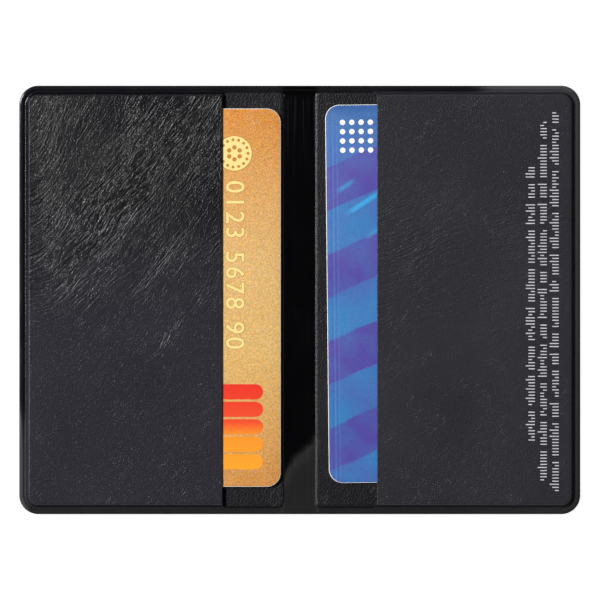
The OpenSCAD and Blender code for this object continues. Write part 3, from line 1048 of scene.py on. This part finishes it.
# Painted glint: a few small flakes are painted lighter.
facets = step(tree, "ShaderNodeTexVoronoi", {"Vector": place, "Scale": 9.0})
facet = step(tree, "ShaderNodeSeparateColor", {0: facets.outputs["Color"]}).outputs
painted_glint = spread(tree, facet[0], 0.86, 0.98, 0.0, 0.3)
speckled = step(tree, "ShaderNodeHueSaturation", {
    "Hue": spread(tree, flake[1], 0.3, 0.7, 0.487, 0.513),
    "Saturation": spread(tree, flake[2], 0.3, 0.7, 0.86, 1.08),
    "Value": sums(tree, "ADD", spread(tree, flake[0], 0.3, 0.7, 0.74, 1.2), painted_glint), "Color": tone})
laminate(tree, shader, speckled.outputs[0], position, 0.3)
print("gold print:", len(tree.nodes), "nodes")

# %% Blue print
BAND_SLOPE = 0.45
BAND_PITCH = 19.6
BAND_SHIFT = 103.2
CYAN = (0.030, 0.36, 0.66)
DARK_LINE = (0.03, 0.04, 0.25)
PALE_LINE = (0.16, 0.26, 0.58)
blue_print, tree, shader, position = started("blue_card_print", Specular_IOR_Level=0.5)
place, across, along = card_places(tree)
tone = ramp(tree, spread(tree, cloud(tree, place, 0.07), 0.35, 0.65), [
    (0.0, (0.052, 0.115, 0.355)), (0.5, (0.041, 0.142, 0.385)), (1.0, (0.032, 0.17, 0.405))])
climb = sums(tree, "MULTIPLY_ADD", across, -BAND_SLOPE, along)
climb = sums(tree, "MULTIPLY_ADD", cloud(tree, place, 0.12), 1.6, climb)
cycle = sums(tree, "FRACT", sums(tree, "DIVIDE", sums(tree, "ADD", climb, BAND_SHIFT), BAND_PITCH))
bands = spread(tree, away(tree, cycle, 0.5), 0.235, 0.265, 1.0, 0.0, smooth=True)
fade = spread(tree, cloud(tree, place, 0.16, 1.0), 0.3, 0.6, 0.6, 1.0)
bands = sums(tree, "MULTIPLY", sums(tree, "MULTIPLY", bands, fade), spread(tree, along, 38.0, 34.0))
tone = mixed(tree, bands, tone, (0.066, 0.054, 0.29))
for streak_across, streak_along, run, slope, strength in (
    (8.6, 20.6, 5.0, 0.62, 0.75), (4.4, 24.4, 2.6, 0.62, 0.4),
    (11.0, 14.0, 3.0, 0.62, 0.35), (10.4, 40.9, 3.6, 0.1, 0.5),
):
    on_line = streak_along - slope * streak_across
    off_line = away(tree, sums(tree, "MULTIPLY_ADD", across, -slope, along), on_line)
    beside = spread(tree, off_line, 0.15, 0.95, 1.0, 0.0, smooth=True)
    within = spread(tree, away(tree, across, streak_across), run * 0.3, run, 1.0, 0.0, smooth=True)
    streak = sums(tree, "MULTIPLY", sums(tree, "MULTIPLY", beside, within), strength)
    tone = mixed(tree, streak, tone, CYAN)
for line_across, strength, shade in (
    (1.15, 0.3, DARK_LINE), (1.65, 0.25, PALE_LINE), (2.15, 0.22, DARK_LINE), (2.6, 0.2, PALE_LINE),
):
    near_line = spread(tree, away(tree, across, line_across), 0.06, 0.16, 1.0, 0.0, smooth=True)
    tone = mixed(tree, sums(tree, "MULTIPLY", near_line, strength), tone, shade)
tone = mixed(tree, spread(tree, along, 33.0, 42.0), tone, (0.033, 0.105, 0.30))
dot = flecks(tree, place, 3.2)
speckled = step(tree, "ShaderNodeHueSaturation", {
    "Hue": spread(tree, dot[1], 0.3, 0.7, 0.49, 0.51),
    "Value": spread(tree, dot[0], 0.3, 0.7, 0.9, 1.1), "Color": tone})
laminate(tree, shader, speckled.outputs[0], position, 0.28)
print("blue print:", len(tree.nodes), "nodes")

# %% Core and cards
card_core, tree, shader, position = started("card_core", Roughness=0.5)
fibres = cloud(tree, position, 4000.0, 1.0)
feed(tree, shader, Base_Color=mixed(tree, fibres, (0.62, 0.60, 0.57), (0.80, 0.78, 0.74)))

for name, low, high, turn, seen_side, printed in (
    ("gold_card", gold_low, gold_high, 0.0, 1, gold_print),
    ("blue_card", blue_low, blue_high, BLUE_TURN, -1, blue_print),
):
    card = card_body(f"{name}_laminated", low, high, turn, seen_side, printed, card_core)
    belongs(card, name, name, f"{name}_body")
    print(f"{card.name}: {CARD_L / MM:.2f} by {CARD_W / MM:.2f} mm, {len(card.data.polygons)} faces")

# %% [markdown]
# Raised print stands on the gold card's face: a pale disc with a ring and beads, a row of
# plain numbers and five bars graded from red to orange. The blue card has a field of white
# dots. All of it is thinner than the gap under the pocket's panel, so that the cards still
# slide. Beads and dots repeat, so a small tree of Geometry Nodes sets a stud on each point.

# %% Studs by Geometry Nodes
PRINT_LOW = CARD_TOP_Z - 0.01 * MM
PRINT_TOP = CARD_TOP_Z + 0.035 * MM

stud_tree, given = geometry_tree(
    "printed_studs", [("Sides", "NodeSocketInt"), ("Radius", FLOAT), ("Height", FLOAT)])
stud = step(stud_tree, "GeometryNodeMeshCylinder", {
    "Vertices": given["Sides"], "Radius": given["Radius"], "Depth": given["Height"]})
studs = step(stud_tree, "GeometryNodeInstanceOnPoints", {
    "Points": given["Geometry"], "Instance": stud.outputs["Mesh"]})
ended(stud_tree, studs.outputs[0], given["Material"])


def ink(name, first, second, gloss=0.35):
    """A printing ink that varies a little between two tones"""
    material, tree, shader, position = started(name, Roughness=gloss)
    feed(tree, shader, Base_Color=mixed(tree, cloud(tree, position, 1400.0), first, second))
    return material


def points_mesh(points):
    """A mesh of loose points"""
    mesh = bpy.data.meshes.new("points")
    mesh.from_pydata(points, [], [])
    return mesh


def printed_studs(name, points, radius, height, material, card):
    """Studs on a card's face. A single one gets more sides"""
    z = PRINT_LOW + height / 2
    obj = grown(name, points_mesh([(x, y, z) for x, y in points]), stud_tree, {
        "Sides": 96 if len(points) == 1 else 28, "Radius": radius, "Height": height, "Material": material})
    return belongs(obj, card, card)


# %% Disc and dots
DISC = (-14.78 * MM, 33.15 * MM)
DISC_R = 4.1 * MM
pale_gold = ink("pale_gold_ink", (0.80, 0.60, 0.20), (0.90, 0.71, 0.31))
deep_gold = ink("deep_gold_ink", (0.42, 0.17, 0.02), (0.55, 0.25, 0.04))
white_ink = ink("white_ink", (0.80, 0.81, 0.84), (0.92, 0.92, 0.94))


def ring(radius, first, between):
    """Points on a ring round the disc's middle, by angles in degrees"""
    return [(DISC[0] + radius * math.cos(a), DISC[1] + radius * math.sin(a))
            for a in np.radians(np.arange(first, first + 360, between))]


for name, points, radius, height, material in (
    ("gold_disc_rim", [DISC], DISC_R, 0.018 * MM, deep_gold),
    ("gold_disc", [DISC], DISC_R - 0.18 * MM, 0.025 * MM, pale_gold),
    ("gold_disc_beads", ring(3.1 * MM, 0, 24), 0.34 * MM, 0.032 * MM, deep_gold),
    ("gold_disc_heart", ring(1.35 * MM, 30, 60), 0.5 * MM, 0.032 * MM, deep_gold),
):
    printed_studs(name, points, radius, height, material, "gold_card")

blue_place = card_to_frame(blue_low, blue_high, BLUE_TURN)
DOT_PITCH = 2.1
dot_points = [blue_place(-CARD_W / 2 + (3.9 + DOT_PITCH * i) * MM, CARD_L / 2 - (4.0 + DOT_PITCH * j) * MM)
              for i in range(4) for j in range(4)]
printed_studs("blue_card_dots", dot_points, 0.62 * MM, 0.03 * MM, white_ink, "blue_card")
print(len(dot_points), "dots on the blue card")

# %% [markdown]
# The numbers are text that is made a mesh, once in a deep gold and a little fatter, and once
# in a pale gold on top of it, which leaves an outline. Text is flat and lies along X, so its
# points are turned and moved in the mesh. The bars are flat strips with a round end.


# %% Numbers on the gold card
NUMBERS = "0123 5678 90"
NUMBER_SIZE = 5.9 * MM
NUMBER_SPACING = 1.17
NUMBERS_PLACE = (-14.6 * MM, 7.9 * MM)


def numbers(name, text, size, grow, top, material):
    """Plain numbers as a thin solid, read down the card, their tops towards +X"""
    curve = bpy.data.curves.new(name, "FONT")
    curve.body = text
    curve.size = size
    curve.offset = grow
    curve.extrude = (top - PRINT_LOW) / 2
    curve.resolution_u = 4
    curve.space_character = NUMBER_SPACING
    mesh = settled(name, into_scene(name, curve))
    co = np.array([v.co for v in mesh.vertices])
    middle = (co.min(0) + co.max(0)) / 2
    turned = np.stack([co[:, 1] - middle[1], -(co[:, 0] - middle[0]), co[:, 2] - middle[2]], -1)
    turned += (*NUMBERS_PLACE, (top + PRINT_LOW) / 2)
    mesh.vertices.foreach_set("co", turned.astype(np.float32).ravel())
    mesh.materials.clear()
    mesh.materials.append(material)
    print(f"{name}: {np.ptp(turned[:, 1]) / MM:.1f} by {np.ptp(turned[:, 0]) / MM:.1f} mm,",
          f"{len(mesh.polygons)} faces")
    return belongs(into_scene(name, mesh), "gold_card", "gold_card")


numbers("gold_card_numbers_edge", NUMBERS, NUMBER_SIZE, 0.15 * MM, CARD_TOP_Z + 0.012 * MM, deep_gold)
numbers("gold_card_numbers", NUMBERS, NUMBER_SIZE, 0.04 * MM, PRINT_TOP, pale_gold)

# %% Bars on the gold card
bar_ink, tree, shader, position = started("graded_ink", Roughness=0.35)
_, y, _ = parts_of(tree, position)
share = spread(tree, y, -38.5 * MM, -18.8 * MM)
share = sums(tree, "MULTIPLY_ADD", cloud(tree, position, 1400.0), 0.06, share)
feed(tree, shader, Base_Color=ramp(tree, share, [
    (0.0, (0.86, 0.34, 0.02)), (0.42, (0.85, 0.27, 0.02)),
    (0.58, (0.78, 0.07, 0.02)), (1.0, (0.74, 0.03, 0.015))]))


def pill(left, right, middle_y, half, low, high, first):
    """Verts and faces of a bar with a round right end"""
    outline = [(left, middle_y + half), (left, middle_y - half)]
    outline += [(right - half + half * math.cos(a), middle_y + half * math.sin(a))
                for a in np.linspace(-math.pi / 2, math.pi / 2, 13)]
    count = len(outline)
    verts = [(x, y, z) for z in (low, high) for x, y in outline]
    faces = [tuple(first + i for i in reversed(range(count))), tuple(first + count + i for i in range(count))]
    faces += [(first + i, first + (i + 1) % count, first + count + (i + 1) % count, first + count + i)
              for i in range(count)]
    return verts, faces


BAR_LEFT = -19.6 * MM
BAR_RIGHT = -8.3 * MM
BAR_HALF = 1.72 * MM
BAR_TOP = CARD_TOP_Z + 0.02 * MM
FIRST_BAR_Y = -20.8
BAR_PITCH = 3.95
bar_verts, bar_faces = [], []
for number in range(5):
    bar_y = (FIRST_BAR_Y - BAR_PITCH * number) * MM
    verts, faces = pill(BAR_LEFT, BAR_RIGHT, bar_y, BAR_HALF, PRINT_LOW, BAR_TOP, len(bar_verts))
    bar_verts += verts
    bar_faces += faces
bars = belongs(finished("gold_card_bars", bar_verts, bar_faces, bar_ink), "gold_card", "gold_card")
print("bars:", len(bars.data.polygons), "faces")

# %% [markdown]
# Three rows of pale print run along the right pocket's outer edge. Small upright strokes in
# groups of a word's length stand for them. A stroke lies on the grained surface, so the tree
# drops every point of it onto the panel with a raycast.

# %% Tree of the printed strokes
stroke_tree, given = geometry_tree("printed_strokes", [("Surface", "NodeSocketObject")])
stroke = step(stroke_tree, "GeometryNodeMeshCube", {
    "Size": (1, 1, 1), "Vertices X": 5, "Vertices Y": 2, "Vertices Z": 2})
size_read = step(stroke_tree, "GeometryNodeInputNamedAttribute", {
    "Name": "stroke_size"}, data_type="FLOAT_VECTOR")
laid = step(stroke_tree, "GeometryNodeInstanceOnPoints", {
    "Points": given["Geometry"], "Instance": stroke.outputs["Mesh"], "Scale": size_read.outputs[0]})
real = step(stroke_tree, "GeometryNodeRealizeInstances", {"Geometry": laid.outputs[0]})
surface = step(stroke_tree, "GeometryNodeObjectInfo", {"Object": given["Surface"]})
place_read = step(stroke_tree, "GeometryNodeInputPosition")
above = step(stroke_tree, "ShaderNodeVectorMath", {
    0: place_read.outputs[0], 1: (0, 0, 0.01)}, operation="ADD")
landed = step(stroke_tree, "GeometryNodeRaycast", {
    "Target Geometry": surface.outputs["Geometry"], "Source Position": above.outputs[0],
    "Ray Direction": (0, 0, -1), "Ray Length": 0.05})
only_up = step(stroke_tree, "ShaderNodeVectorMath", {
    0: landed.outputs["Hit Position"], 1: (0, 0, 1)}, operation="MULTIPLY")
dropped = step(stroke_tree, "GeometryNodeSetPosition", {
    "Geometry": real.outputs[0], "Offset": only_up.outputs[0]})
ended(stroke_tree, dropped.outputs[0], given["Material"])

# %% Rows of print on the right pocket
PRINT_ROWS = ((52.45, -31.7, 31.5), (55.15, -40.7, 40.4), (57.85, -43.1, 42.9))
STROKE_PITCH = 0.7
STROKE_W = 0.23 * MM
STROKE_H = 0.04 * MM
PLAIN = 1.45
TALL = 2.05
SHORT = 0.85
SHIFT = 0.3
WORD_LENGTHS = (4, 12)
dice = random.Random(41)
stroke_points, stroke_sizes = [], []
for middle, start, end in PRINT_ROWS:
    y = start
    left_in_word = dice.randint(*WORD_LENGTHS)
    while y < end:
        if left_in_word == 0:
            left_in_word = dice.randint(*WORD_LENGTHS)
            y += 1.5 * STROKE_PITCH
            continue
        length = dice.choices((PLAIN, TALL, SHORT), (6, 2, 2))[0]
        shift = {PLAIN: 0.0, TALL: -SHIFT, SHORT: dice.choice((-SHIFT, SHIFT))}[length]
        stroke_points.append(((middle + shift) * MM, y * MM, 0))
        stroke_sizes.append((length * MM, STROKE_W, STROKE_H))
        y += STROKE_PITCH
        left_in_word -= 1
stroke_base = points_mesh(stroke_points)
keep(stroke_base, "stroke_size", stroke_sizes)
grey_ink = ink("grey_ink", (0.46, 0.46, 0.50), (0.60, 0.60, 0.64), 0.5)
rows = grown("print_rows", stroke_base, stroke_tree, {
    "Surface": bpy.data.objects["pocket_right"], "Material": grey_ink})
belongs(rows, "right_half", "grained_vinyl")
print(f"print rows: {len(stroke_points)} strokes, {len(rows.data.polygons)} faces,",
      f"top at {max(v.co.z for v in rows.data.vertices) / MM:.2f} mm")

# %% [markdown]
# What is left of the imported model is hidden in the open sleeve: the shielding films, and the
# contacts, stripes and writing strips of the cards. They stay as they are and take finishes
# of their own.

# %% Hidden nodes
foil, tree, shader, position = started("shield_film", Metallic=1.0)
rolled = step(tree, "ShaderNodeMapping", {"Vector": position, "Scale": (40.0, 2500.0, 1.0)})
rolling = cloud(tree, rolled.outputs[0], 1.0)
feed(tree, shader, Base_Color=mixed(tree, rolling, (0.62, 0.63, 0.66), (0.78, 0.79, 0.81)),
     Roughness=spread(tree, rolling, 0.3, 0.7, 0.22, 0.38))

contact_metal, tree, shader, position = started("contact_metal", Metallic=1.0)
worn = handled(tree, position, 0.004, 0.004)
feed(tree, shader, Base_Color=mixed(tree, worn["Smudge"], (0.78, 0.56, 0.20), (0.86, 0.66, 0.30)),
     Roughness=spread(tree, worn["Scratch"], 0.0, 1.0, 0.2, 0.4))

tape = ink("stripe_tape", (0.022, 0.013, 0.009), (0.032, 0.019, 0.013), 0.4)
writing_strip = ink("writing_strip", (0.80, 0.80, 0.76), (0.88, 0.88, 0.85), 0.8)
for material, names in (
    (foil, ("shield_foil_left", "shield_foil_right")),
    (contact_metal, ("gold_card_chip", "blue_card_chip")),
    (tape, ("gold_card_stripe", "blue_card_stripe")),
    (writing_strip, ("gold_card_signature_panel", "blue_card_signature_panel")),
):
    for name in names:
        slots = frame["nodes"][name].data.materials
        slots.clear()
        slots.append(material)
print("hidden nodes finished")

# %% [markdown]
# The sleeve lies on a white table that gives off its own light, as a light table does, so
# that the floor comes out white with no shadow. Black vinyl shows only what it mirrors: a
# dome that is bright near the horizon and dark overhead keeps the flat faces black and lights
# the bead of the rim, and one softbox to the left picks out the creases.

# %% Floor
floor_material, tree, shader, position = started(
    "lit_floor", Roughness=0.9, Specular_IOR_Level=0.1, Emission_Strength=0.96)
blotches = cloud(tree, position, 3.0)
feed(tree, shader, Base_Color=mixed(tree, blotches, (0.10, 0.10, 0.10), (0.14, 0.14, 0.14)),
     Emission_Color=mixed(tree, blotches, (0.98, 0.98, 0.98), (1.0, 1.0, 1.0)))
FLOOR_R = 40.0
FLOOR_Z = -0.02 * MM
floor_mesh = bpy.data.meshes.new("floor")
floor_mesh.from_pydata([(a * FLOOR_R, b * FLOOR_R, FLOOR_Z) for a, b in ((-1, -1), (1, -1), (1, 1), (-1, 1))],
                       [], [(0, 1, 2, 3)])
floor_mesh.materials.append(floor_material)
floor = into_scene("floor", floor_mesh)
floor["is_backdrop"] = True

# %% Light
world = bpy.data.worlds.new("studio")
world.use_nodes = True
bpy.context.scene.world = world
tree = world.node_tree
background = tree.nodes["Background"]
x, y, up = parts_of(tree, tree.nodes.new("ShaderNodeTexCoord").outputs["Generated"])
dome = spread(tree, up, 0.5, 0.74, 0.24, 0.02, smooth=True)
sideways = sums(tree, "MULTIPLY_ADD", y, -0.3, sums(tree, "MULTIPLY_ADD", x, 0.4, 0.9))
horizon = spread(tree, up, 0.03, 0.12, 0.98, 0.0, smooth=True)
sky = sums(tree, "MAXIMUM", sums(tree, "MULTIPLY", dome, sideways), horizon)
tree.links.new(sky, background.inputs["Strength"])
background.inputs["Color"].default_value = (1, 1, 1, 1)

SOFTBOX_PLACE = Vector((-0.98, 0.40, 1.1))
SOFTBOX_SIZE = 0.42
SOFTBOX_POWER = 37
softbox = bpy.data.lights.new("key_softbox", "AREA")
softbox.shape = "RECTANGLE"
softbox.size = softbox.size_y = SOFTBOX_SIZE
softbox.energy = SOFTBOX_POWER
lamp = into_scene("key_softbox", softbox)
lamp.location = SOFTBOX_PLACE
lamp.rotation_mode = "QUATERNION"
lamp.rotation_quaternion = (-SOFTBOX_PLACE).to_track_quat("-Z", "Y")
lamp.visible_camera = False
bpy.context.scene.view_settings.view_transform = "Standard"
print(f"softbox {SOFTBOX_PLACE.length:.2f} m away")

# %% [markdown]
# The box round the visible pieces is printed in mm.

# %% Write the sizes and finish
low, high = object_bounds()
print("visual box in mm:", [round(c / MM, 2) for c in (*low, *high)])
